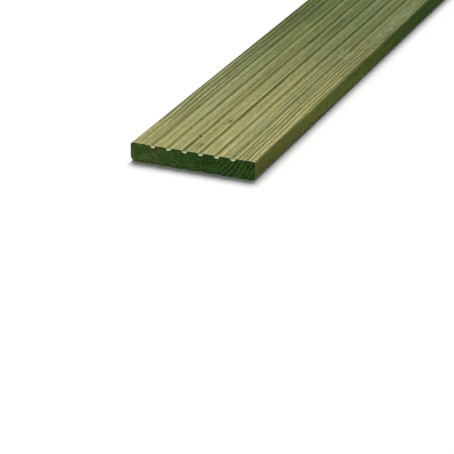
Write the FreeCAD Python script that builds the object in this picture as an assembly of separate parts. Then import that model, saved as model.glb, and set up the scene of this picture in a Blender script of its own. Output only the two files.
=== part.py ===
import FreeCAD, Part
import math
import os

# Grooved softwood decking board: one length of timber, with the same grooves machined into both faces.
# X runs along the board, Y across it and Z up. The origin is under its middle, where it lies.

# Blank, planed all round, in millimetres; its long corners are rounded more below than above
BOARD_LENGTH = 1800.0
BOARD_WIDTH = 145.0
BOARD_THICKNESS = 22.0
UPPER_ARRIS_RADIUS = 3.0
LOWER_ARRIS_RADIUS = 5.0

# Grip grooves, in the same places on both faces, so that either face can be laid upwards
GROOVE_COUNT = 6
GROOVE_PITCH = 18.6
GROOVE_DEPTH = 3.0
GROOVE_MOUTH = 7.4
GROOVE_FLOOR = 3.4
LIP_RADIUS = 1.0
ROOT_RADIUS = 0.8


def groove_corners(middle, face, inward):
    """Corners (y, z, rounding radius) of one groove, from its left lip to its right lip."""
    floor = face + inward * GROOVE_DEPTH
    return [
        (middle - GROOVE_MOUTH / 2, face, LIP_RADIUS),
        (middle - GROOVE_FLOOR / 2, floor, ROOT_RADIUS),
        (middle + GROOVE_FLOOR / 2, floor, ROOT_RADIUS),
        (middle + GROOVE_MOUTH / 2, face, LIP_RADIUS),
    ]


def face_corners(face, inward, arris_radius):
    """Corners of one grooved face, from its left arris to its right arris."""
    corners = [(-BOARD_WIDTH / 2, face, arris_radius)]
    first_groove = -GROOVE_PITCH * (GROOVE_COUNT - 1) / 2
    for number in range(GROOVE_COUNT):
        corners += groove_corners(first_groove + number * GROOVE_PITCH, face, inward)
    corners.append((BOARD_WIDTH / 2, face, arris_radius))
    return corners


def section_point(corner):
    """A corner's place at the left end of the board, where the section is drawn."""
    return FreeCAD.Vector(-BOARD_LENGTH / 2, corner[0], corner[1])


def rounded_corner(before, corner, after):
    """Start, middle and end of the arc that rounds a corner, tangent to the runs on both sides."""
    point = section_point(corner)
    radius = corner[2]
    to_before = (section_point(before) - point).normalize()
    to_after = (section_point(after) - point).normalize()
    half_angle = to_before.getAngle(to_after) / 2
    setback = radius / math.tan(half_angle)
    to_centre = (to_before + to_after).normalize()
    middle = point + to_centre * (radius / math.sin(half_angle) - radius)
    return point + to_before * setback, middle, point + to_after * setback


def rounded_outline(corners):
    """Closed wire of straight runs joined by an arc at each corner."""
    count = len(corners)
    arcs = []
    for index in range(count):
        arcs.append(rounded_corner(corners[index - 1], corners[index], corners[(index + 1) % count]))
    edges = []
    for index, (start, middle, end) in enumerate(arcs):
        next_start = arcs[(index + 1) % count][0]
        edges.append(Part.Arc(start, middle, end).toShape())
        edges.append(Part.LineSegment(end, next_start).toShape())
    return Part.Wire(edges)


def decking_board():
    """The whole board: its section, grooved above and below, run straight through from end to end."""
    underside = face_corners(0.0, 1.0, LOWER_ARRIS_RADIUS)
    walking_face = face_corners(BOARD_THICKNESS, -1.0, UPPER_ARRIS_RADIUS)
    outline = rounded_outline(underside + walking_face[::-1])
    return Part.Face(outline).extrude(FreeCAD.Vector(BOARD_LENGTH, 0, 0))


def main():
    os.makedirs("parts", exist_ok=True)
    board = decking_board()
    board.exportStep("parts/decking_board.step")
    size = board.BoundBox
    print("decking_board", board.ShapeType, "valid", board.isValid())
    print("size", round(size.XLength, 3), round(size.YLength, 3), round(size.ZLength, 3))
    print("volume cm3", round(board.Volume / 1000, 1), "section mm2", round(board.Volume / BOARD_LENGTH, 1))


main()
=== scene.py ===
# %% [markdown]
# # A grooved decking board of pressure-treated pine
# The real board is one length of softwood: sawn, planed, grooved on both faces and then soaked in a green
# preservative. This lesson loads the plain solid that holds its size and lays a finer skin of timber in
# exactly the same place. The wood is built from the inside out, as rings round a pith, so that the rings
# on the sawn end and the lines on the walking face belong to the same tree.

# %% Load the board as it was built
import math
from collections import namedtuple

import bpy
import numpy as np
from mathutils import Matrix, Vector


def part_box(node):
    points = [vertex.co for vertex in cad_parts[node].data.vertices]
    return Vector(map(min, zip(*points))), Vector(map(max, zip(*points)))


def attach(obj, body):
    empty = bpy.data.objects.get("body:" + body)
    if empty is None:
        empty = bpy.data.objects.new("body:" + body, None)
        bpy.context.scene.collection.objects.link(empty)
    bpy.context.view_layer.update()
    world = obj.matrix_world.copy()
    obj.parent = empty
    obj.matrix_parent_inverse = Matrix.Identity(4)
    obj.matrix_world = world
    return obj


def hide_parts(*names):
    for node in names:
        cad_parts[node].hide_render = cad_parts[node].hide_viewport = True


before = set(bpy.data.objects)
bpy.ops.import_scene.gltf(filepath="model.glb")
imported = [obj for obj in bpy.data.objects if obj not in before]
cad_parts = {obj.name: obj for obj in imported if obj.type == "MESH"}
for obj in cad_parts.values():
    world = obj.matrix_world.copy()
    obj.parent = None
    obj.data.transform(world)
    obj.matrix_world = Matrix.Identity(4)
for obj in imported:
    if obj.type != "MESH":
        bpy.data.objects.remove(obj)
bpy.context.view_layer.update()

low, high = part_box("decking_board")
length, width, thickness = high - low
print("board", round(length, 4), "x", round(width, 4), "x", round(thickness, 4), "m")

# %% [markdown]
# ## The section
# The cutters of the moulding machine give every board the same section. It could be drawn again from
# sizes, but the solid already has it, so the outline is read off the near end. Points that a straight run
# would pass through anyway are dropped, and long runs are divided, because the grain needs points to move.

# %% Read the outline of the walking face
OUTLINE_TOLERANCE = 0.00002
OUTLINE_DIGITS = 6
COLUMN_STEP = 0.0009
MIDDLE_HEIGHT = (low.z + high.z) / 2


def thinned(line, tolerance):
    """Drop the points that lie within the tolerance of a straight run."""
    kept = [0]
    for index in range(2, len(line)):
        start = line[kept[-1]]
        run = line[index] - start
        between = line[kept[-1] + 1:index] - start
        off = np.abs(between[:, 0] * run[1] - between[:, 1] * run[0]) / np.linalg.norm(run)
        if off.max() > tolerance:
            kept.append(index - 1)
    return line[kept + [len(line) - 1]]


def divided(line, longest):
    """Add points so that no step along the line is longer than that."""
    runs = []
    for start, end in zip(line[:-1], line[1:]):
        steps = math.ceil(np.linalg.norm(end - start) / longest)
        runs.append(start + np.linspace(0, 1, steps, endpoint=False)[:, None] * (end - start))
    return np.vstack(runs + [line[-1:]])


solid_points = np.array([corner.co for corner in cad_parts["decking_board"].data.vertices])
near_points = solid_points[solid_points[:, 0] < low.x + OUTLINE_TOLERANCE]
end_outline = np.unique(near_points[:, 1:].round(OUTLINE_DIGITS), axis=0)
upper_outline = end_outline[end_outline[:, 1] > MIDDLE_HEIGHT]
lower_outline = end_outline[end_outline[:, 1] < MIDDLE_HEIGHT]
walking_line = divided(thinned(upper_outline, OUTLINE_TOLERANCE), COLUMN_STEP)
print("outline", len(upper_outline), "points in the solid,", len(walking_line), "in the skin")

# %% [markdown]
# ## The loop round the board
# The underside has the same grooves and rounder corners, so its height is read off below each point of the
# walking face, and two plain edges join the two faces. Going once round gives a closed loop of points, each
# with a normal that says which way is out. Relief is always cut inwards along that normal, so the skin
# never grows out of the size that the solid gives.

# %% Join the two faces and the two edges into one loop
EDGE_ROWS = 12


def edge_run(from_point, to_point):
    """Points between two corners of an edge, without the corners."""
    steps = np.linspace(0, 1, EDGE_ROWS + 1)[1:-1, None]
    return from_point + steps * (to_point - from_point)


columns = len(walking_line)
underside_heights = np.interp(walking_line[:, 0], lower_outline[:, 0], lower_outline[:, 1])
underside_line = np.stack([walking_line[:, 0], underside_heights], axis=1)
section = np.vstack([
    walking_line,
    edge_run(walking_line[-1], underside_line[-1]),
    underside_line[::-1],
    edge_run(underside_line[0], walking_line[0]),
])
around = len(section)
tangent = np.roll(section, -1, axis=0) - np.roll(section, 1, axis=0)
section_normal = np.stack([-tangent[:, 1], tangent[:, 0]], axis=1)
section_normal /= np.linalg.norm(section_normal, axis=1)[:, None]
print("loop of", around, "points")

# %% [markdown]
# ## Knots and slices
# A knot is the foot of a branch. The walking face shows one faint swirl and a few pin knots, and the length
# out of sight gets a few of the usual size. Timber changes quickly across the grain and slowly along it,
# so the slices can be far apart where the board is plain, and stand closest at the ends and the knots.

# %% Choose the knots and the places of the slices
Knot = namedtuple("Knot", "along across radius shade")
# Place along and across, radius, and shade from 0 to 1.
KNOTS = [
    Knot(0.352, 0.1150, 0.0030, 0.25),
    Knot(0.099, 0.0757, 0.0016, 0.95),
    Knot(0.095, 0.0757, 0.0018, 1.00),
    Knot(0.048, 0.0612, 0.0017, 0.95),
    Knot(0.021, 0.0740, 0.0018, 0.95),
    Knot(0.342, 0.0775, 0.0010, 0.80),
    Knot(0.760, 0.0420, 0.0055, 0.80),
    Knot(0.795, 0.1010, 0.0030, 0.90),
    Knot(1.240, 0.0930, 0.0060, 0.75),
    Knot(1.265, 0.0250, 0.0030, 0.90),
    Knot(1.610, 0.0560, 0.0045, 0.85),
]
LARGE_KNOT = 0.0025
CLOSE_LENGTH = 0.60
CLOSE_STEP = 0.010
PLAIN_STEP = 0.020
KNOT_STEP = 0.004
KNOT_REACH = 0.028
END_STEPS = (0.0, 0.0012, 0.0028, 0.0052)
END_REACH = 0.008
LEAST_STEP = 0.0024


def slice_places():
    """Distances from the near end, in order, none closer than the least step except at the ends."""
    places = list(np.arange(END_REACH, CLOSE_LENGTH, CLOSE_STEP))
    places += list(np.arange(CLOSE_LENGTH, length - END_REACH, PLAIN_STEP))
    for knot in KNOTS:
        if knot.radius > LARGE_KNOT:
            places += list(np.arange(knot.along - KNOT_REACH, knot.along + KNOT_REACH, KNOT_STEP))
    kept = list(END_STEPS)
    for place in sorted(places):
        if place - kept[-1] > LEAST_STEP:
            kept.append(place)
    return np.array(kept + [length - place for place in reversed(END_STEPS)])


slices = slice_places()
print(len(slices), "slices, so about", 2 * len(slices) * around, "triangles on the long faces")

# %% [markdown]
# ## The tree inside the board
# A board is a straight cut through a slightly bent cone of rings. Each point's distance from the pith,
# divided by the width of a year's growth, counts the rings: whole numbers are winters, and the fraction
# says how far into the year the wood grew. A knot lifts the rings outwards around it. The sum is done here
# with arrays for the relief, and again with nodes for the colour, from these same values.

# %% Count the rings at any point
PITH_ACROSS = 0.0692
PITH_ABOVE_FACE = 0.0298
RING_WIDTH = 0.00482
RING_START = 0.19
LOPSIDED = 0.075
PITH_WAVES = [(0.0011, 7.3, 0.4), (0.0006, 19.0, 2.1), (0.0003, 47.0, 4.4)]
KNOT_FLOW = (5.5, 2.3, 2.3)
KNOT_SWELL = 1.5
KNOT_LEAN = 0.012
LATEWOOD_RISE = (0.36, 0.76)
LATEWOOD_FALL = (0.94, 1.00)

pith = np.array([0.0, high.y - PITH_ACROSS, high.z + PITH_ABOVE_FACE])


def knot_axis(knot):
    """Where a knot's middle line meets the walking face, and the way it points, out from the pith."""
    foot = np.array([low.x + knot.along, high.y - knot.across, high.z])
    way = foot - (foot[0] - KNOT_LEAN, pith[1], pith[2])
    return foot, way / np.linalg.norm(way)


def knot_swelling(points, knot):
    """How much a knot lifts the rings at each point, from 0 to 1."""
    foot, way = knot_axis(knot)
    offset = points - foot
    offset = offset - (offset @ way)[..., None] * way
    offset = offset / (np.array(KNOT_FLOW) * knot.radius)
    return np.exp(-(offset ** 2).sum(axis=-1))


def ring_count(points):
    """Rings from the pith to each point, with the place inside the ring as a fraction."""
    bend = sum(size * np.sin(turns * points[..., 0] + start) for size, turns, start in PITH_WAVES)
    across = pith[1] - points[..., 1] + bend
    radius = np.hypot(across, points[..., 2] - pith[2]) + LOPSIDED * across
    for knot in KNOTS:
        radius = radius - KNOT_SWELL * knot.radius * knot_swelling(points, knot)
    return radius / RING_WIDTH - RING_START


def soft_step(value, start, end):
    """0 before the start, 1 after the end and a smooth curve between them."""
    share = np.clip((value - start) / (end - start), 0, 1)
    return share * share * (3 - 2 * share)


def latewood(count):
    """1 on the dark, hard line that ends a year's growth, 0 in the soft wood of spring."""
    place = count % 1.0
    return soft_step(place, *LATEWOOD_RISE) * (1 - soft_step(place, *LATEWOOD_FALL))


grid = np.zeros((len(slices), around, 3))
grid[:, :, 0] = low.x + slices[:, None]
grid[:, :, 1:] = section[None]
hard_lines = latewood(ring_count(grid))
print("latewood covers", round(float(hard_lines.mean()), 3), "of the skin")

# %% [markdown]
# ## Relief
# Planing leaves the hard latewood standing and the soft wood slightly sunk, more so after a soaking. The
# lips of the grooves chip here and there, grain tears where it rises towards a knot, and the saw breaks
# fibres out along the ends. Bump could fake all of it, but then the mesh would be flat, so points move.

# %% Cut the relief into the loop
GRAIN_RELIEF = 0.00016
FIBRE_RELIEF = 0.00007
TEAR_RELIEF = 0.00045
CHIP_RELIEF = 0.0004
LIP_DEPTH = 0.0004
BREAKOUT = 0.0007
FIBRE_GRAIN = (0.030, 0.0011)
TEAR_GRAIN = (0.004, 0.0016)
CHIP_GRAIN = (0.011, 0.003)
CHIP_STEP = (0.75, 1.0)
SWIRL_TEAR = 0.7
BREAK_GRAIN = 0.0022
BREAK_STEP = (0.3, 1.2)
BREAK_ROWS = np.array([[0.5], [40.5]])
NOISE_TABLE = np.random.default_rng(21).random((97, 89))

Patch = namedtuple("Patch", "along across half_length half_width")
TORN_EDGE = Patch(along=0.500, across=0.1340, half_length=0.100, half_width=0.0090)
TORN_SWIRL = Patch(along=0.352, across=0.1165, half_length=0.018, half_width=0.0060)


def even_noise(along, across):
    """Smooth random values from 0 to 1, a new one for each whole step."""
    row = np.floor(along).astype(int)
    column = np.floor(across).astype(int)
    u = soft_step(along - row, 0, 1)
    v = soft_step(across - column, 0, 1)
    rows, cols = NOISE_TABLE.shape

    def corner(down, right):
        return NOISE_TABLE[(row + down) % rows, (column + right) % cols]

    first = corner(0, 0) * (1 - v) + corner(0, 1) * v
    second = corner(1, 0) * (1 - v) + corner(1, 1) * v
    return first * (1 - u) + second * u


def patch_cover(points, patch):
    """A soft-edged oval on the walking face, 1 in its middle."""
    x = (points[..., 0] - low.x - patch.along) / patch.half_length
    y = (high.y - points[..., 1] - patch.across) / patch.half_width
    return np.exp(-(x ** 2 + y ** 2)) * (points[..., 2] > MIDDLE_HEIGHT)


loop_length = np.concatenate([[0], np.cumsum(np.linalg.norm(np.diff(section, axis=0), axis=1))])
slice_grid, loop_grid = np.meshgrid(slices, loop_length, indexing="ij")


def grain(size):
    """Random values over the loop, with grain of that length along and across."""
    return even_noise(slice_grid / size[0], loop_grid / size[1])


fibres = grain(FIBRE_GRAIN)
tears = patch_cover(grid, TORN_EDGE) + SWIRL_TEAR * patch_cover(grid, TORN_SWIRL)
tears *= grain(TEAR_GRAIN)
below = np.minimum(grid[..., 2] - low.z, high.z - grid[..., 2])
lips = np.exp(-((below - LIP_DEPTH) / LIP_DEPTH) ** 2)
chips = lips * soft_step(grain(CHIP_GRAIN), *CHIP_STEP)

relief = GRAIN_RELIEF * (1 - hard_lines) + FIBRE_RELIEF * fibres + CHIP_RELIEF * chips + TEAR_RELIEF * tears
skin = grid.copy()
skin[:, :, 1:] -= relief[..., None] * section_normal[None]
breaks = BREAKOUT * soft_step(even_noise(BREAK_ROWS, loop_length[None] / BREAK_GRAIN), *BREAK_STEP)
skin[0, :, 0] += breaks[0]
skin[-1, :, 0] -= breaks[1]
print("deepest relief", round(float(relief.max()) * 1000, 2), "mm")

# %% [markdown]
# ## The sawn ends
# An end could be one many-sided face, but then its rings would have no relief. A grid that shares the
# loop's own points closes the board without a seam and gives the end grain something to stand on.

# %% Close both ends with a grid
SAW_RELIEF = 0.00012
SAW_PITCH = 0.0031
SAW_SHARE = 0.4
SAW_CENTRE = (-0.10, -0.09)


def end_grid(slice_index, first_new):
    """Indices of the end's grid, rows from the underside up, and the new points inside it."""
    indices = np.zeros((EDGE_ROWS + 1, columns), int)
    start = slice_index * around
    side = EDGE_ROWS - 1
    indices[EDGE_ROWS] = start + np.arange(columns)
    indices[0] = start + columns + side + np.arange(columns)[::-1]
    indices[1:-1, -1] = start + columns + np.arange(side)[::-1]
    indices[1:-1, 0] = start + 2 * columns + side + np.arange(side)
    inner_shape = (EDGE_ROWS - 1, columns - 2)
    indices[1:-1, 1:-1] = first_new + np.arange(inner_shape[0] * inner_shape[1]).reshape(inner_shape)
    share = (np.arange(1, EDGE_ROWS) / EDGE_ROWS)[:, None]
    inner = np.zeros(inner_shape + (3,))
    inner[..., 0] = low.x + slices[slice_index]
    inner[..., 1] = walking_line[1:-1, 0]
    inner[..., 2] = underside_line[1:-1, 1] * (1 - share) + walking_line[1:-1, 1] * share
    return indices, inner


def sawn(inner, inwards):
    """Sink the soft wood of an end, and leave the arcs of a circular saw across it."""
    saw_arc = np.hypot(inner[..., 1] - SAW_CENTRE[0], inner[..., 2] - SAW_CENTRE[1])
    marks = 0.5 + 0.5 * np.sin(saw_arc * math.tau / SAW_PITCH)
    soft_wood = 1 - latewood(ring_count(inner))
    sunk = SAW_RELIEF * ((1 - SAW_SHARE) * soft_wood + SAW_SHARE * marks)
    inner[..., 0] += inwards * sunk
    return inner.reshape(-1, 3)


near_indices, near_inner = end_grid(0, len(slices) * around)
far_indices, far_inner = end_grid(len(slices) - 1, len(slices) * around + near_inner[..., 0].size)
points = np.vstack([skin.reshape(-1, 3), sawn(near_inner, 1), sawn(far_inner, -1)])


def cells(grid_values):
    """The four corners of every cell of a grid, one row for each cell."""
    corners = [grid_values[:-1, :-1], grid_values[:-1, 1:], grid_values[1:, 1:], grid_values[1:, :-1]]
    stacked = np.stack(corners, axis=2)
    return stacked.reshape((-1, 4) + grid_values.shape[2:])


loop_indices = np.arange(len(slices) * around).reshape(len(slices), around)
loop_indices = np.hstack([loop_indices, loop_indices[:, :1]])
long_faces = cells(loop_indices)[:, ::-1]
near_faces = cells(near_indices)[:, ::-1]
far_faces = cells(far_indices)
faces = np.vstack([long_faces, near_faces, far_faces])
print(len(points), "points,", 2 * len(faces), "triangles")

# %% [markdown]
# ## The piece
# One board is one mesh. It rides on the only body and stands for the plain solid. Two numbers are kept with
# each point for the material to read: the depth below the face, because a groove is stained less than the
# land beside it, and the closeness to a lip, for a painted highlight: a thin pale line that stands in for
# the light the lips catch, most on the lips that look left, less on the land beside the others and the top
# of their shaded flanks, and on the right arris.

# %% Make the board's mesh
GROOVED_HALF = 0.056
LIP_REACH = 0.0005
LIP_TURN = 0.45
LIP_WIDTH = 0.0006
LAND_WIDTH = 0.0012
LAND_DEPTH = 0.0010
LAND_SHARE = 0.72
ARRIS_START = 0.0706
ARRIS_SHARE = 0.55
SHARP_TURN = math.radians(50)

section_depth = np.minimum(section[:, 1] - low.z, high.z - section[:, 1])
near_face = section_depth < LIP_REACH
grooved_part = np.abs(section[:, 0]) < GROOVED_HALF


def pale_line(chosen, line_width):
    """A soft line along the chosen points of the section."""
    distance = np.abs(loop_length[:, None] - loop_length[chosen][None]).min(axis=1)
    return np.exp(-(distance / line_width) ** 2)


# Painted highlight: pale lines for light caught by the lips, the top of the shaded flanks and the right
# arris.
left_looking = pale_line(near_face & grooved_part & (section_normal[:, 0] > LIP_TURN), LIP_WIDTH)
right_looking = pale_line(near_face & grooved_part & (section_normal[:, 0] < -LIP_TURN), LAND_WIDTH)
right_looking *= LAND_SHARE * (section_depth < LAND_DEPTH)
arris = ARRIS_SHARE * pale_line(near_face & (section[:, 0] < -ARRIS_START), LIP_WIDTH)
lip_paleness = np.maximum(np.maximum(left_looking, right_looking), arris)
lip_highlight = np.zeros(len(points))
lip_highlight[:len(slices) * around] = np.tile(lip_paleness, len(slices))
below_face = np.minimum(points[:, 2] - low.z, high.z - points[:, 2])

mesh = bpy.data.meshes.new("decking_board_timber")
mesh.from_pydata(points.tolist(), [], faces.tolist())
for name, values in {"below_face": below_face, "lip_highlight": lip_highlight}.items():
    mesh.attributes.new(name, "FLOAT", "POINT").data.foreach_set("value", values.astype(np.float32))
face_material = np.repeat([0, 1], [len(long_faces), len(near_faces) + len(far_faces)])
mesh.polygons.foreach_set("material_index", face_material.astype(np.int32))
mesh.shade_smooth()
mesh.set_sharp_from_angle(angle=SHARP_TURN)
board = bpy.data.objects.new("decking_board_timber", mesh)
bpy.context.scene.collection.objects.link(board)
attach(board, "root")
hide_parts("decking_board")
print("board mesh", len(mesh.vertices), "points, faults found:", mesh.validate())

# %% [markdown]
# ## A map for painted copies
# When the model is stored, its colours are painted into one square picture. Blender could unfold the board
# by itself, but a strip of 1.8 m would leave most of the square empty. Grain runs along the board and
# changes across it, so the loop is spread over the whole height of the picture and the length squeezed
# into its width: that gives the fine direction over four times as many pixels as the slow one.

# %% Unfold the board
SKIN_SHARE = 0.89
END_BASE = 0.90
END_GAP = 0.01


def end_map(indices, left):
    """The map of one end, in half of the strip that the long faces leave free."""
    place = points[indices]
    across = left + (0.5 - END_GAP) * (place[..., 1] - low.y) / width
    up = END_BASE + (1 - END_BASE) * (place[..., 2] - low.z) / thickness
    return np.stack([across, up], axis=2)


loop_end = loop_length[-1] + np.linalg.norm(section[0] - section[-1])
loop_share = SKIN_SHARE * np.append(loop_length, loop_end) / loop_end
skin_map = np.stack(np.meshgrid(slices / length, loop_share, indexing="ij"), axis=2)
corner_map = np.vstack([
    cells(skin_map)[:, ::-1],
    cells(end_map(near_indices, 0.0))[:, ::-1],
    cells(end_map(far_indices, 0.5 + END_GAP)),
])
unfolded = mesh.uv_layers.new(name="OFBake", do_init=False)
unfolded.uv.foreach_set("vector", corner_map.astype(np.float32).ravel())
finer = SKIN_SHARE * length / loop_end
print("map", round(finer, 1), "times as fine across as along")

# %% [markdown]
# ## A bench for nodes
# A material is a recipe, and it should read like one. These helpers place a node, feed its sockets with
# a number or another node's output, and hand back the output, so that a long tree stays short.

# %% Helpers for single nodes


def feed(tree, socket, value):
    """Link an output to a socket, or set the socket to a constant."""
    if isinstance(value, bpy.types.NodeSocket):
        tree.links.new(value, socket)
    else:
        socket.default_value = value


def put(tree, kind, inputs=None, **settings):
    """Place a shader node with its settings and inputs."""
    made = tree.nodes.new("ShaderNode" + kind)
    for name, value in settings.items():
        setattr(made, name, value)
    for name, value in (inputs or {}).items():
        feed(tree, made.inputs[name], value)
    return made


def calculated(tree, kind, values, **settings):
    """The outputs of a node whose inputs are fed in order."""
    made = put(tree, kind, **settings)
    for socket, value in zip(made.inputs, values):
        feed(tree, socket, value)
    return made.outputs


def sum_of(tree, operation, *values):
    """A Math node's output."""
    return calculated(tree, "Math", values, operation=operation)[0]


def vector_of(tree, operation, *values):
    """A Vector Math node's output: a number for a length, otherwise a vector."""
    outputs = calculated(tree, "VectorMath", values, operation=operation)
    return outputs["Value" if operation == "LENGTH" else "Vector"]


def step(tree, value, start, end, low_value=0.0, high_value=1.0):
    """A soft step between two values while the input goes from start to end."""
    values = (value, start, end, low_value, high_value)
    return calculated(tree, "MapRange", values, interpolation_type="SMOOTHSTEP")[0]


def tinted(tree, factor, first, second, blend_type="MIX"):
    """Mix two colours. The node's colour sockets come after those for numbers and vectors."""
    made = put(tree, "Mix", data_type="RGBA", blend_type=blend_type)
    for index, value in {0: factor, 6: first, 7: second}.items():
        feed(tree, made.inputs[index], value)
    return made.outputs[2]


def paint(*red_green_blue):
    """A colour as seen on screen, 0 to 255, in the linear light that shaders add up."""
    share = np.array(red_green_blue) / 255
    linear = np.where(share <= 0.04045, share / 12.92, ((share + 0.055) / 1.055) ** 2.4)
    return (*linear.tolist(), 1.0)


print("middle grey in linear light", round(paint(128, 128, 128)[0], 3))

# %% [markdown]
# ## Words for chains and groups
# Masks are mostly multiplied, or the greatest of them is taken, and a group holds an effect that more than
# one material uses. With a word for each, the recipes below say what happens and not how.

# %% Helpers for chains and groups
NOISE_RANGE = (0.34, 0.66)


def times(tree, first, *others):
    """Several values multiplied together."""
    for other in others:
        first = sum_of(tree, "MULTIPLY", first, other)
    return first


def greatest(tree, first, *others):
    """The greatest of several values."""
    for other in others:
        first = sum_of(tree, "MAXIMUM", first, other)
    return first


def weaker(tree, value, where, share):
    """The value, cut down to a share of itself where the mask is 1."""
    return times(tree, value, step(tree, where, 0.0, 1.0, 1.0, share))


def noise(tree, place, stretch, detail=2.0):
    """Smooth noise with so many waves a metre along, across and up."""
    scaled = vector_of(tree, "MULTIPLY", place, stretch)
    return put(tree, "TexNoise", {"Vector": scaled, "Scale": 1.0, "Detail": detail}).outputs["Fac"]


def centred(tree, value, size):
    """Noise turned into a waver of that size about nothing."""
    return sum_of(tree, "MULTIPLY_ADD", value, size, -size / 2)


def new_group(name, inputs, recipe):
    """A node group with these inputs and the outputs that the recipe makes from them."""
    tree = bpy.data.node_groups.new(name, "ShaderNodeTree")
    for socket, kind in inputs.items():
        tree.interface.new_socket(socket, in_out="INPUT", socket_type="NodeSocket" + kind)
    made = recipe(tree, tree.nodes.new("NodeGroupInput").outputs)
    for socket in made:
        tree.interface.new_socket(socket, in_out="OUTPUT", socket_type="NodeSocketFloat")
    result = tree.nodes.new("NodeGroupOutput").inputs
    for socket, value in made.items():
        feed(tree, result[socket], value)
    return tree


def use_group(tree, group, inputs):
    """Place a group in a tree and return its outputs."""
    return put(tree, "Group", inputs, node_tree=group).outputs


print("most noise lies in", NOISE_RANGE)

# %% [markdown]
# ## Knots
# Inside the board a knot is a slim cone that points out from the pith. Seen by the shader it is only a
# distance from a line, so one small group serves every knot: near the line is the brown heart with rings
# of its own and a dark, ragged rim, and further out the swelling that pushes the board's rings aside.

# %% Group: one knot
KNOT_SOCKETS = {"Place": "Vector", "Foot": "Vector", "Way": "Vector", "Radius": "Float", "Shade": "Float"}
KNOT_RAGGED = (260.0, 260.0, 260.0)
RAGGED_SIZE = 0.8
HEART_EDGE = (1.25, 0.80)
HEART_RING = 0.26
HEART_RING_STEP = (0.05, 0.21, 0.0, 0.75)
HEART_RIM = (0.70, 0.95)


def knot_recipe(tree, given):
    """Distance from the knot's middle line, as a heart, as rings and as a swelling."""
    offset = vector_of(tree, "SUBTRACT", given["Place"], given["Foot"])
    beside = vector_of(tree, "SUBTRACT", offset, vector_of(tree, "PROJECT", offset, given["Way"]))
    share = sum_of(tree, "DIVIDE", vector_of(tree, "LENGTH", beside), given["Radius"])
    ragged = noise(tree, given["Place"], KNOT_RAGGED)
    share = sum_of(tree, "ADD", share, centred(tree, ragged, RAGGED_SIZE))
    heart = times(tree, step(tree, share, *HEART_EDGE), given["Shade"])
    rings = step(tree, sum_of(tree, "PINGPONG", share, HEART_RING), *HEART_RING_STEP)
    rings = greatest(tree, rings, step(tree, share, *HEART_RIM))
    flow = vector_of(tree, "DIVIDE", beside, KNOT_FLOW)
    spread = sum_of(tree, "DIVIDE", vector_of(tree, "LENGTH", flow), given["Radius"])
    fading = sum_of(tree, "EXPONENT", times(tree, spread, spread, -1.0))
    swelling = times(tree, fading, given["Radius"])
    return {"Knot": heart, "Knot Rings": times(tree, rings, heart), "Swelling": swelling}


knot_group = new_group("One knot", KNOT_SOCKETS, knot_recipe)
print("knot group with", len(knot_group.nodes), "nodes")

# %% [markdown]
# ## Growth rings
# The long faces and the sawn ends cut the same tree. Two pictures of wood would not meet at the rim, so
# one group counts the rings for both. It gives the dark latewood lines and the pale spring wood that starts
# sharply behind them, a tone for each year, how steeply the rings meet the face, and the knots' hearts.

# %% Group: growth rings
RING_DRIFT = (14.0, 190.0, 190.0)
RING_WAVER = 0.32
SPRING_FADE = (0.36, 0.04)


def ring_radius(tree, place):
    """Distance from the bent pith, less what the knots lift, and the outputs found on the way."""
    apart = put(tree, "SeparateXYZ", {"Vector": place}).outputs
    across = sum_of(tree, "SUBTRACT", float(pith[1]), apart["Y"])
    for size, turns, start in PITH_WAVES:
        angle = sum_of(tree, "MULTIPLY_ADD", apart["X"], turns, start)
        across = sum_of(tree, "MULTIPLY_ADD", sum_of(tree, "SINE", angle), size, across)
    down = sum_of(tree, "SUBTRACT", apart["Z"], float(pith[2]))
    far = vector_of(tree, "LENGTH", put(tree, "CombineXYZ", {"X": across, "Y": down}).outputs[0])
    made = {"Edge Grain": sum_of(tree, "DIVIDE", sum_of(tree, "ABSOLUTE", across), far)}
    radius = sum_of(tree, "MULTIPLY_ADD", across, LOPSIDED, far)
    placed = []
    for knot in KNOTS:
        foot, way = knot_axis(knot)
        shape = {"Place": place, "Foot": foot, "Way": way, "Radius": knot.radius, "Shade": knot.shade}
        placed.append(use_group(tree, knot_group, shape))
        radius = sum_of(tree, "MULTIPLY_ADD", placed[-1]["Swelling"], -KNOT_SWELL, radius)
    for kind in ("Knot", "Knot Rings"):
        made[kind] = greatest(tree, *[one[kind] for one in placed])
    return radius, made


def rings_recipe(tree, given):
    """The relief's ring count, with a little waver that only colour needs."""
    radius, made = ring_radius(tree, given["Place"])
    waver = centred(tree, noise(tree, given["Place"], RING_DRIFT), RING_WAVER)
    count = sum_of(tree, "ADD", sum_of(tree, "MULTIPLY_ADD", radius, 1 / RING_WIDTH, -RING_START), waver)
    year_place = sum_of(tree, "FRACT", count)
    rise = step(tree, year_place, *LATEWOOD_RISE)
    fall = step(tree, year_place, *LATEWOOD_FALL, 1.0, 0.0)
    made["Latewood"] = times(tree, rise, fall)
    made["Spring"] = step(tree, year_place, *SPRING_FADE)
    year = put(tree, "TexWhiteNoise", {"W": sum_of(tree, "FLOOR", count)}, noise_dimensions="1D")
    made["Year Tone"] = year.outputs["Value"]
    return made


rings_group = new_group("Growth rings", {"Place": "Vector"}, rings_recipe)
print("rings group with", len(rings_group.nodes), "nodes")

# %% [markdown]
# ## Treatment stain
# The preservative goes in under pressure and comes out patchy: deep green along the middle of the board,
# paler towards the sawn ends, and a little deeper on the left, where younger sapwood drinks more. The
# paleness towards the ends is partly wood that dries first and partly painted light, with painted shade
# along the middle. A painted picture could hold such a stain, but a sum of a few soft steps does so at any
# size, and noise stretched along the grain breaks it up.

# %% Group: treatment stain
# Paler towards the ends: partly drier wood, partly painted light.
DRY_AND_LIT_END = (-0.02, 0.55)
SAPWOOD = (0.024, 0.062, 0.0, 0.10)
SAPWOOD_END = (0.02, 0.16)
PATCHY = (3.0, 60.0, 60.0)
PATCHY_SIZE = 0.7
WARMTH_DRIFT = (3.1, 34.0, 20.0)
WARMER_RIGHT = 2.6


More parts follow.
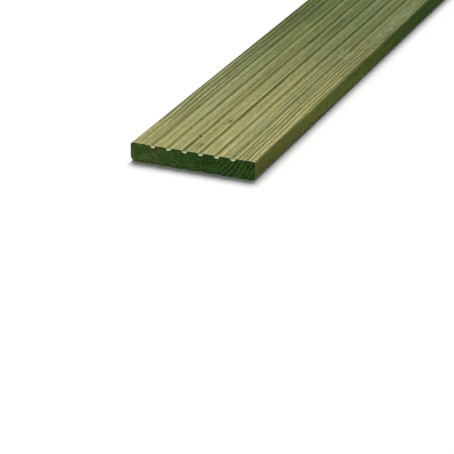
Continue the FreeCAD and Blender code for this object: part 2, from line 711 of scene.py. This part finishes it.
def stain_recipe(tree, given):
    """Stain from 0 to 1, deep green, paler towards the ends partly as painted light, a drift from cool to
    warm, and the distance to an end.
    """
    place = given["Place"]
    apart = put(tree, "SeparateXYZ", {"Vector": place}).outputs
    from_end = sum_of(tree, "SUBTRACT", length / 2, sum_of(tree, "ABSOLUTE", apart["X"]))
    # Painted light towards the ends, partly drier wood, and painted shade along the middle.
    soaked_and_shaded = step(tree, from_end, *DRY_AND_LIT_END)
    sapwood = times(tree, step(tree, apart["Y"], *SAPWOOD), step(tree, from_end, *SAPWOOD_END))
    patches = centred(tree, noise(tree, place, PATCHY, detail=3.0), PATCHY_SIZE)
    stain = sum_of(tree, "ADD", sum_of(tree, "ADD", soaked_and_shaded, sapwood), patches)
    stain = put(tree, "Clamp", {"Value": stain}).outputs[0]
    drift = noise(tree, place, WARMTH_DRIFT, detail=1.0)
    drift = sum_of(tree, "MULTIPLY_ADD", apart["Y"], -WARMER_RIGHT, drift)
    return {"Stain": stain, "Warmth": step(tree, drift, *NOISE_RANGE), "From End": from_end}


stain_group = new_group("Treatment stain", {"Place": "Vector"}, stain_recipe)
print("stain group with", len(stain_group.nodes), "nodes")

# %% [markdown]
# ## Fibres
# Softwood is a bundle of hollow fibres as fine as hair. Along a face they show as short pale and dark
# streaks, and on a sawn end as fine specks. Noise that is stretched only along the board gives both. Where
# such noise crosses one value it draws long thin lines, like the resin canals that the cutters open. A dark
# line at one value and a pale one at the next make a pair, as a scratch and its lit edge do.

# %% Group: fibres
FIBRE_SIZES = {"Fine": (130.0, 850.0, 850.0), "Streaks": (10.0, 700.0, 700.0), "Broad": (6.0, 300.0, 300.0)}
LINE_SIZE = (7.0, 330.0, 330.0)
LINE_EDGES = (0.055, 0.010)
LINE_VALUES = {"Dark Lines": 0.48, "Pale Lines": 0.57}


def fibre_recipe(tree, given):
    """Three sizes of streaks, and thin lines in pairs."""
    made = {}
    for kind, stretch in FIBRE_SIZES.items():
        made[kind] = noise(tree, given["Place"], stretch, detail=5.0)
    drawn = noise(tree, given["Place"], LINE_SIZE, detail=1.0)
    for kind, value in LINE_VALUES.items():
        beside = sum_of(tree, "ABSOLUTE", sum_of(tree, "SUBTRACT", drawn, value))
        made[kind] = step(tree, beside, *LINE_EDGES)
    return made


fibre_group = new_group("Fibres", {"Place": "Vector"}, fibre_recipe)
print("fibre group with", len(fibre_group.nodes), "nodes")

# %% [markdown]
# ## Bare timber
# Planed softwood is straw-coloured spring wood crossed by olive-brown latewood, tan where it has dried at
# the ends and grey green in places. A photograph of wood could be wrapped round the board, but its lines
# would not run where the relief has them. Here each part of a ring has its own colour, the thin lines are
# laid over it, and the streaks vary its brightness.

# %% Colour of the bare timber
SPRING_STRAW = paint(168, 164, 105)
WARM_TAN = paint(168, 157, 96)
COOL_GREY_GREEN = paint(145, 154, 107)
PALE_SPRING = paint(196, 194, 140)
LATEWOOD_OLIVE = paint(78, 80, 32)
WARM_END = (0.15, 0.02, 0.0, 0.8)
STEEP_RINGS = (0.70, 0.90, 0.28, 1.0)
STRONG_YEARS = (0.0, 1.0, 0.7, 1.0)
FLAT_GRAIN_TONE = (0.10, 0.75, 0.87, 1.0)
STRAW_SHARE = 0.5
SPRING_SHARE = 0.7
PALE_LINE_SHARE = 0.20
DARK_LINE_SHARE = 0.25
TONE_SPREADS = {"Broad": 0.05, "Streaks": 0.17, "Fine": 0.20}
YEAR_SPREAD = 0.04


def toned(tree, colour, spreads):
    """The colour made darker and lighter by noises, each with its own spread about 1."""
    for value, spread in spreads:
        tone = step(tree, value, *NOISE_RANGE, 1 - spread, 1 + spread)
        colour = tinted(tree, 1.0, colour, tone, "MULTIPLY")
    return colour


def timber_colour(tree, rings, stain, fibre, clear):
    """Spring wood, latewood lines and streaks, before any stain."""
    warmth = greatest(tree, stain["Warmth"], step(tree, stain["From End"], *WARM_END))
    ground = tinted(tree, STRAW_SHARE, tinted(tree, warmth, COOL_GREY_GREEN, WARM_TAN), SPRING_STRAW)
    steep = step(tree, rings["Edge Grain"], *STEEP_RINGS)
    strength = times(tree, steep, step(tree, rings["Year Tone"], *STRONG_YEARS), clear)
    pale = times(tree, rings["Spring"], strength, SPRING_SHARE)
    pale = greatest(tree, pale, times(tree, fibre["Pale Lines"], PALE_LINE_SHARE))
    dark = times(tree, rings["Latewood"], strength)
    dark = greatest(tree, dark, times(tree, fibre["Dark Lines"], DARK_LINE_SHARE))
    colour = tinted(tree, dark, tinted(tree, pale, ground, PALE_SPRING), LATEWOOD_OLIVE)
    spreads = [(fibre[kind], spread) for kind, spread in TONE_SPREADS.items()]
    colour = toned(tree, colour, spreads + [(rings["Year Tone"], YEAR_SPREAD)])
    return tinted(tree, 1.0, colour, step(tree, rings["Edge Grain"], *FLAT_GRAIN_TONE), "MULTIPLY")


print("latewood is", round(LATEWOOD_OLIVE[1] / PALE_SPRING[1], 2), "times as bright as pale spring wood")

# %% [markdown]
# ## Marks in the grain
# Resin and dirt lie in the grain as a few long dark flames, and some stretches of the lands are duller.
# They could be painted on by hand, but a soft oval with a place and a size is enough for each, and easy
# to move. It has little depth, so it stays on the walking face.

# %% Dark streaks and dull stretches
PATCH_DEPTH = 0.008
PATCH_EDGE = (1.5, 0.3)
# Place along and across, half length and half width.
DARK_STREAKS = [
    Patch(0.022, 0.0605, 0.026, 0.0013),
    Patch(0.185, 0.0795, 0.100, 0.0008),
    Patch(0.190, 0.0552, 0.140, 0.0010),
    Patch(0.200, 0.0133, 0.085, 0.0008),
    Patch(0.150, 0.0198, 0.060, 0.0008),
    Patch(0.395, 0.0615, 0.035, 0.0010),
    Patch(0.448, 0.0710, 0.040, 0.0013),
    Patch(0.480, 0.0268, 0.060, 0.0025),
    Patch(0.470, 0.0105, 0.080, 0.0010),
    Patch(0.460, 0.0172, 0.080, 0.0010),
]
DULL_PATCHES = [
    Patch(0.030, 0.0725, 0.065, 0.0050),
    Patch(0.435, 0.0735, 0.050, 0.0050),
    Patch(0.490, 0.0360, 0.050, 0.0070),
]


def patch_mask(tree, place, patch):
    """A soft oval, much like the relief's, on the walking face only."""
    middle = (low.x + patch.along, high.y - patch.across, high.z)
    offset = vector_of(tree, "SUBTRACT", place, middle)
    share = vector_of(tree, "DIVIDE", offset, (patch.half_length, patch.half_width, PATCH_DEPTH))
    return step(tree, vector_of(tree, "LENGTH", share), *PATCH_EDGE)


def covered(tree, place, patches):
    """Where any of the patches lies."""
    return greatest(tree, 0.0, *[patch_mask(tree, place, patch) for patch in patches])


print(len(DARK_STREAKS), "dark streaks and", len(DULL_PATCHES), "dull stretches")

# %% [markdown]
# ## Parts of the section
# Lands, grooves and edges take the stain differently. Each could have a material of its own, with a hard
# seam between them. Soft masks, from the depth below the face and the place across the board, blend them
# as stain does.

# %% Masks for parts of the section
FLANK_DEPTHS = (0.0004, 0.0018)
FLOOR_DEPTHS = (0.0016, 0.0027)
RIGHT_EDGE = (-0.0714, -0.0725)
LEFT_TO_RIGHT = (0.065, -0.065)
CLEARER_LEFT = (-0.03, 0.03, 0.80, 1.0)
FAINT_LEFT = (0.035, 0.055)
FAINT_END = (0.13, 0.03)
FAINT_RINGS = {"left_end": 0.5, "groove": 0.55, "right_edge": 0.2, "torn": 0.25}
Zones = namedtuple("Zones", "across from_middle rightness left_end right_edge grooved groove floor torn")


def zone_masks(tree, place, from_end):
    """Where a point lies across the board, and masks for the parts of the section."""
    across = put(tree, "SeparateXYZ", {"Vector": place}).outputs["Y"]
    from_middle = sum_of(tree, "ABSOLUTE", across)
    grooved = sum_of(tree, "LESS_THAN", from_middle, GROOVED_HALF)
    below = put(tree, "Attribute", attribute_name="below_face").outputs["Fac"]
    return Zones(
        across=across,
        from_middle=from_middle,
        rightness=step(tree, across, *LEFT_TO_RIGHT),
        left_end=times(tree, step(tree, across, *FAINT_LEFT), step(tree, from_end, *FAINT_END)),
        right_edge=step(tree, across, *RIGHT_EDGE),
        grooved=grooved,
        groove=times(tree, step(tree, below, *FLANK_DEPTHS), grooved),
        floor=times(tree, step(tree, below, *FLOOR_DEPTHS), grooved),
        torn=patch_mask(tree, place, TORN_EDGE),
    )


def ring_clearness(tree, zones):
    """How clear the rings are: fainter on the right, and more so in the zones named above."""
    clear = step(tree, zones.across, *CLEARER_LEFT)
    for zone, share in FAINT_RINGS.items():
        clear = weaker(tree, clear, getattr(zones, zone), share)
    return clear


print("masks:", ", ".join(Zones._fields[2:]))

# %% [markdown]
# ## Raised fibres and painted highlights
# Cut fibres stand up where the cutters and the saw broke them: in the torn grain beside the right edge and
# at the swirl, and at the end of each groove and round the rim of each end, where the pale colour is partly
# a painted highlight of lit edges. The pale line along the lips is a painted highlight. As hairs the fibres
# would be far too many and too fine to see one by one, so a paler colour stands for them.

# %% Where fibres stand up
GROOVE_END = (0.0060, 0.0)
END_FRINGE = (0.0016, 0.0004, 0.0, 0.7)
FLECK_SIZE = (85.0, 480.0, 480.0)
FLECK_STEP = (0.49, 0.62, 0.06, 0.56)
SWIRL_SHARE = 0.30
STRONG_LIPS = (0.020, 0.054, 0.88, 0.70)
BROKEN_LIPS = (0.55, 1.0)
STAINED_LIP_SHARE = 0.68


def fibres_and_highlights(tree, place, zones, from_end):
    """Groove ends and the rims of both ends, pale with cut fibres and a painted highlight, and torn grain
    and the swirl.
    """
    groove_end_fibres_and_highlight = times(tree, zones.floor, step(tree, from_end, *GROOVE_END))
    rim_fibres_and_highlight = step(tree, from_end, *END_FRINGE)
    flecks = step(tree, noise(tree, place, FLECK_SIZE, detail=4.0), *FLECK_STEP)
    flecks = times(tree, flecks, zones.torn)
    swirl = times(tree, patch_mask(tree, place, TORN_SWIRL), SWIRL_SHARE)
    return greatest(tree, groove_end_fibres_and_highlight, rim_fibres_and_highlight, flecks, swirl)


def painted_lip_line(tree, zones, stain, fibre):
    """The painted highlight along the lips: a broken pale line, weaker away from the middle and in deep
    stain.
    """
    lip = put(tree, "Attribute", attribute_name="lip_highlight").outputs["Fac"]
    broken = step(tree, fibre["Broad"], *NOISE_RANGE, *BROKEN_LIPS)
    strong = step(tree, zones.from_middle, *STRONG_LIPS)
    groove_lip = weaker(tree, zones.grooved, stain["Stain"], STAINED_LIP_SHARE)
    kept = greatest(tree, groove_lip, sum_of(tree, "SUBTRACT", 1.0, stain["Stain"]))
    return times(tree, lip, broken, strong, kept)


print("fibres stand up within", END_FRINGE[0] * 1000, "mm of an end")

# %% [markdown]
# ## Tints and stain
# Paint over the wood would hide its grain, so tints and stain are multiplied into it: olive on the left,
# grey green on the right and deepest on the right edge. On that edge a yellow green tint is painted bounce
# light, and its brightness along the board, lightest about a third of a metre in, is painted light and
# shade. The grooves are stained less, and their floors are a little paler and greyer than their flanks.

# %% Colour with tints and stain
OLIVE_STAIN = (0.32, 0.41, 0.24, 1.0)
GREY_STAIN = (0.36, 0.46, 0.42, 1.0)
RIGHT_EDGE_STAIN = (0.22, 0.44, 0.22, 1.0)
# Painted bounce light on the right edge.
RIGHT_EDGE_PAINTED_BOUNCE = (0.88, 1.04, 0.56, 1.0)
LEFT_GROOVE_TINT = (0.96, 0.99, 0.90, 1.0)
RIGHT_GROOVE_TINT = (0.88, 0.91, 0.79, 1.0)
FLOOR_TINT = (1.07, 1.10, 1.24, 1.0)
STREAK_TINT = (0.52, 0.54, 0.38, 1.0)
DULL_TINT = (0.79, 0.82, 0.70, 1.0)
GROOVE_STAIN = 0.74
EDGE_PALEST = 0.30
# Painted light and shade along the right edge, lightest about a third of a metre in.
EDGE_PAINTED_LIGHT_AND_SHADE = (0.05, 0.26, 1.22, 0.82)


def marked(tree, place, colour, zones, from_end):
    """Timber with the tints of the grooves, the marks in the grain, and the right edge's painted bounce
    light and painted light and shade.
    """
    groove_tint = tinted(tree, zones.rightness, LEFT_GROOVE_TINT, RIGHT_GROOVE_TINT)
    from_palest = sum_of(tree, "ABSOLUTE", sum_of(tree, "SUBTRACT", from_end, EDGE_PALEST))
    tints = [
        (zones.groove, groove_tint),
        (zones.floor, FLOOR_TINT),
        (covered(tree, place, DULL_PATCHES), DULL_TINT),
        (covered(tree, place, DARK_STREAKS), STREAK_TINT),
        # The right edge: painted bounce light, then painted light and shade along the board.
        (zones.right_edge, RIGHT_EDGE_PAINTED_BOUNCE),
        (zones.right_edge, step(tree, from_palest, *EDGE_PAINTED_LIGHT_AND_SHADE)),
    ]
    for where, tint in tints:
        colour = tinted(tree, where, colour, tint, "MULTIPLY")
    return colour


def stained(tree, colour, zones, stain):
    """Timber with the preservative in it, weaker in the grooves."""
    tint = tinted(tree, zones.rightness, OLIVE_STAIN, GREY_STAIN)
    tint = tinted(tree, zones.right_edge, tint, RIGHT_EDGE_STAIN)
    depth = weaker(tree, stain["Stain"], zones.groove, GROOVE_STAIN)
    return tinted(tree, depth, colour, tint, "MULTIPLY")


print("right edge palest", EDGE_PALEST, "m from an end")

# %% [markdown]
# ## Moulded faces
# The long faces put all this together from the wood outwards: timber, marks, cut fibres with their painted
# highlights, and stain. The painted highlight on the lips and the knots come last, because they take little
# of the stain. Softwood hardly shines, so the shader is rough, and a bump that is too fine for the mesh
# breaks up what shine is left.

# %% Material: moulded faces
# Pale cut fibres, at groove ends and end rims partly a painted highlight.
CUT_FIBRE_AND_HIGHLIGHT = paint(214, 215, 174)
# Colours of the painted highlight along the lips.
LIP_HIGHLIGHT_PALE = paint(210, 211, 166)
LIP_HIGHLIGHT_STAINED = paint(180, 192, 134)
KNOT_TAN = paint(98, 87, 43)
KNOT_BROWN = paint(43, 42, 17)
FACE_ROUGHNESS = (0.0, 1.0, 0.88, 0.74)
FACE_RING_BUMP = 0.4
DULL_SHINE = 0.10


def timber_material(name):
    """A material, its nodes, the board's own coordinates and the groups that they feed."""
    material = bpy.data.materials.new(name)
    material.use_nodes = True
    tree = material.node_tree
    place = put(tree, "TexCoord").outputs["Object"]
    groups = [use_group(tree, group, {"Place": place}) for group in (rings_group, stain_group, fibre_group)]
    return material, tree, place, groups


def timber_surface(tree, colour, roughness, height, strength, distance):
    """Join a colour, a roughness and the finest relief to the material's shader."""
    shader = tree.nodes["Principled BSDF"]
    bump = put(tree, "Bump", {"Strength": strength, "Distance": distance, "Height": height})
    feed(tree, shader.inputs["Base Color"], colour)
    feed(tree, shader.inputs["Roughness"], roughness)
    feed(tree, shader.inputs["Specular IOR Level"], DULL_SHINE)
    feed(tree, shader.inputs["Normal"], bump.outputs["Normal"])


def moulded_faces():
    """The material of every long face."""
    material, tree, place, (rings, stain, fibre) = timber_material("moulded_faces")
    from_end = stain["From End"]
    zones = zone_masks(tree, place, from_end)
    colour = timber_colour(tree, rings, stain, fibre, ring_clearness(tree, zones))
    colour = marked(tree, place, colour, zones, from_end)
    # Cut fibres, with a painted highlight at the groove ends and end rims.
    colour = tinted(tree, fibres_and_highlights(tree, place, zones, from_end), colour, CUT_FIBRE_AND_HIGHLIGHT)
    colour = stained(tree, colour, zones, stain)
    # Painted highlight along the lips, in a paler colour where the stain is thin.
    lip_paint = tinted(tree, stain["Stain"], LIP_HIGHLIGHT_PALE, LIP_HIGHLIGHT_STAINED)
    colour = tinted(tree, painted_lip_line(tree, zones, stain, fibre), colour, lip_paint)
    heart = tinted(tree, rings["Knot Rings"], KNOT_TAN, KNOT_BROWN)
    colour = tinted(tree, rings["Knot"], colour, heart)
    height = sum_of(tree, "MULTIPLY_ADD", rings["Latewood"], FACE_RING_BUMP, fibre["Fine"])
    roughness = step(tree, rings["Latewood"], *FACE_ROUGHNESS)
    timber_surface(tree, colour, roughness, height, strength=0.35, distance=0.0003)
    return material


mesh.materials.append(moulded_faces())
print("material", mesh.materials[0].name)

# %% [markdown]
# ## Sawn ends
# End grain drinks the preservative, so the ends are far greener and darker than the faces. They are darkest
# in a line along the upper and lower rims, and lighter towards the bottom, which is painted light. The saw
# has smeared the left part into blotches and specks, with a little grey dust, and left the rings clear as
# broken arcs on the right. A picture of an end could be laid on, but the groups already know the same tree,
# so only colours and strengths differ.

# %% Material: sawn ends
END_GREEN = paint(69, 96, 43)
END_BROWN = paint(81, 88, 48)
END_DEEP = paint(50, 82, 31)
END_LATEWOOD = paint(22, 46, 13)
END_SPRING = paint(68, 100, 46)
END_DUST = paint(104, 108, 95)
END_BLOTCHES = (20.0, 100.0, 100.0)
END_BREAKS = (20.0, 240.0, 240.0)
BROKEN_RINGS = (0.35, 1.0)
CLEAR_RINGS = (-0.012, -0.040, 0.20, 1.0)
DEEPENING = (0.058, -0.010)
END_RIM = (0.0003, 0.0014, 0.70, 1.0)
# Painted light: the end lighter at the bottom than at the top.
END_PAINTED_LIGHT_LOW = (1.16, 0.97)
BLOTCH_SPREAD = 0.16
END_SPREADS = {"Broad": 0.26, "Fine": 0.36}
DUST_STEP = (0.48, 0.70, 0.0, 0.12)
END_ROUGHNESS = (0.2, 0.8, 0.98, 0.86)
END_RING_BUMP = 0.6


def end_colour(tree, place, rings, stain, fibre):
    """Green end grain with arcs, blotches, specks and dust."""
    apart = put(tree, "SeparateXYZ", {"Vector": place}).outputs
    ground = tinted(tree, stain["Warmth"], END_GREEN, END_BROWN)
    ground = tinted(tree, step(tree, apart["Y"], *DEEPENING), ground, END_DEEP)
    broken = step(tree, noise(tree, place, END_BREAKS), *NOISE_RANGE, *BROKEN_RINGS)
    strength = times(tree, step(tree, apart["Y"], *CLEAR_RINGS), broken)
    colour = tinted(tree, times(tree, rings["Spring"], strength), ground, END_SPRING)
    colour = tinted(tree, times(tree, rings["Latewood"], strength), colour, END_LATEWOOD)
    spreads = [(fibre[kind], spread) for kind, spread in END_SPREADS.items()]
    colour = toned(tree, colour, spreads + [(noise(tree, place, END_BLOTCHES), BLOTCH_SPREAD)])
    below = put(tree, "Attribute", attribute_name="below_face").outputs["Fac"]
    # Darker along the rims, and painted light that makes the lower part lighter.
    tone = times(tree, step(tree, below, *END_RIM), step(tree, apart["Z"], low.z, high.z, *END_PAINTED_LIGHT_LOW))
    colour = tinted(tree, 1.0, colour, tone, "MULTIPLY")
    return tinted(tree, step(tree, fibre["Streaks"], *DUST_STEP), colour, END_DUST)


def sawn_ends():
    """The material of both ends."""
    material, tree, place, (rings, stain, fibre) = timber_material("sawn_ends")
    colour = end_colour(tree, place, rings, stain, fibre)
    height = sum_of(tree, "MULTIPLY_ADD", rings["Latewood"], END_RING_BUMP, fibre["Fine"])
    roughness = step(tree, fibre["Fine"], *END_ROUGHNESS)
    timber_surface(tree, colour, roughness, height, strength=0.5, distance=0.0004)
    return material


mesh.materials.append(sawn_ends())
print("material", mesh.materials[1].name)

# %% [markdown]
# ## Floor and surroundings
# The board lies on a plain pale floor. To the camera the floor is nearly white and keeps the board's
# shadow. To light that bounces it is a middle grey, so that the ends and edges stay in shade.

# %% Floor and world
FLOOR_SIZE = 12.0
FLOOR_SEEN = (1.0, 1.0, 1.0, 1.0)
FLOOR_BOUNCE = (0.26, 0.26, 0.25, 1.0)
SKY_SEEN = (1.0, 1.0, 1.0, 1.0)
SKY_LIGHT = (0.20, 0.20, 0.20, 1.0)


def seen_directly(tree):
    """1 for rays from the camera, and for what mirrors and glass would show."""
    path = put(tree, "LightPath").outputs
    return greatest(tree, path["Is Camera Ray"], path["Is Glossy Ray"], path["Is Transmission Ray"])


def pale_floor():
    """A wide sheet under the board."""
    half = FLOOR_SIZE / 2
    corners = [(-half, -half, low.z), (half, -half, low.z), (half, half, low.z), (-half, half, low.z)]
    sheet = bpy.data.meshes.new("floor")
    sheet.from_pydata(corners, [], [(0, 1, 2, 3)])
    made = bpy.data.objects.new("floor", sheet)
    bpy.context.scene.collection.objects.link(made)
    material = bpy.data.materials.new("pale_floor")
    material.use_nodes = True
    tree = material.node_tree
    shader = tree.nodes["Principled BSDF"]
    feed(tree, shader.inputs["Base Color"], tinted(tree, seen_directly(tree), FLOOR_BOUNCE, FLOOR_SEEN))
    shader.inputs["Roughness"].default_value = 1.0
    shader.inputs["Specular IOR Level"].default_value = 0.0
    sheet.materials.append(material)


def pale_world():
    """A white surround that lights the board only softly."""
    world = bpy.data.worlds.new("studio")
    world.use_nodes = True
    tree = world.node_tree
    colour = tinted(tree, seen_directly(tree), SKY_LIGHT, SKY_SEEN)
    feed(tree, tree.nodes["Background"].inputs["Color"], colour)
    bpy.context.scene.world = world


pale_floor()
pale_world()
print("floor", FLOOR_SIZE, "m square")

# %% [markdown]
# ## Light
# The photograph's light falls from behind and from the left, so each groove has a dark flank on its left
# and a bright lip on its right, and the sawn end is in shade. A wide, soft sun gives that evenly over the
# whole board. A weaker one shines low along the grooves onto the near end. It passes over the walking face,
# and it lets the end's green be written about as dark as it is on the timber.

# %% Key light and fill
KEY_FROM = (0.50, 0.18, 0.85)
KEY_STRENGTH = 3.0
KEY_SOFTNESS = math.radians(35)
FILL_FROM = (-1.00, 0.00, 0.02)
FILL_STRENGTH = 1.1
FILL_SOFTNESS = math.radians(2)


def soft_sun(name, shines_from, strength, softness):
    """A far light of that apparent size."""
    lamp = bpy.data.lights.new(name, "SUN")
    lamp.energy = strength
    lamp.angle = softness
    made = bpy.data.objects.new(name, lamp)
    made.rotation_euler = Vector(shines_from).to_track_quat("Z", "Y").to_euler()
    bpy.context.scene.collection.objects.link(made)


soft_sun("key", KEY_FROM, KEY_STRENGTH, KEY_SOFTNESS)
soft_sun("fill", FILL_FROM, FILL_STRENGTH, FILL_SOFTNESS)
print("key light from", KEY_FROM, "and fill from", FILL_FROM)

# %% [markdown]
# ## Camera
# The photograph was taken with a long lens from above the near end, a little to its right. The place and
# angles were found by matching the board's corners, edges and grooves.

# %% Camera
CAMERA_FROM_NEAR_END = (-1.8974, -0.8436, 0.8737)
CAMERA_YAW = math.radians(22.952)
CAMERA_DIP = math.radians(24.344)
LENS = 167.52
SENSOR_WIDTH = 36.0

camera_data = bpy.data.cameras.new("camera")
camera_data.lens = LENS
camera_data.sensor_width = SENSOR_WIDTH
camera = bpy.data.objects.new("camera", camera_data)
camera.location = Vector((low.x, 0.0, low.z)) + Vector(CAMERA_FROM_NEAR_END)
camera.rotation_euler = (math.pi / 2 - CAMERA_DIP, 0.0, CAMERA_YAW - math.pi / 2)
bpy.context.scene.collection.objects.link(camera)
bpy.context.scene.camera = camera
bpy.context.scene.view_settings.view_transform = "Standard"
print("camera at", [round(part, 3) for part in camera.location])
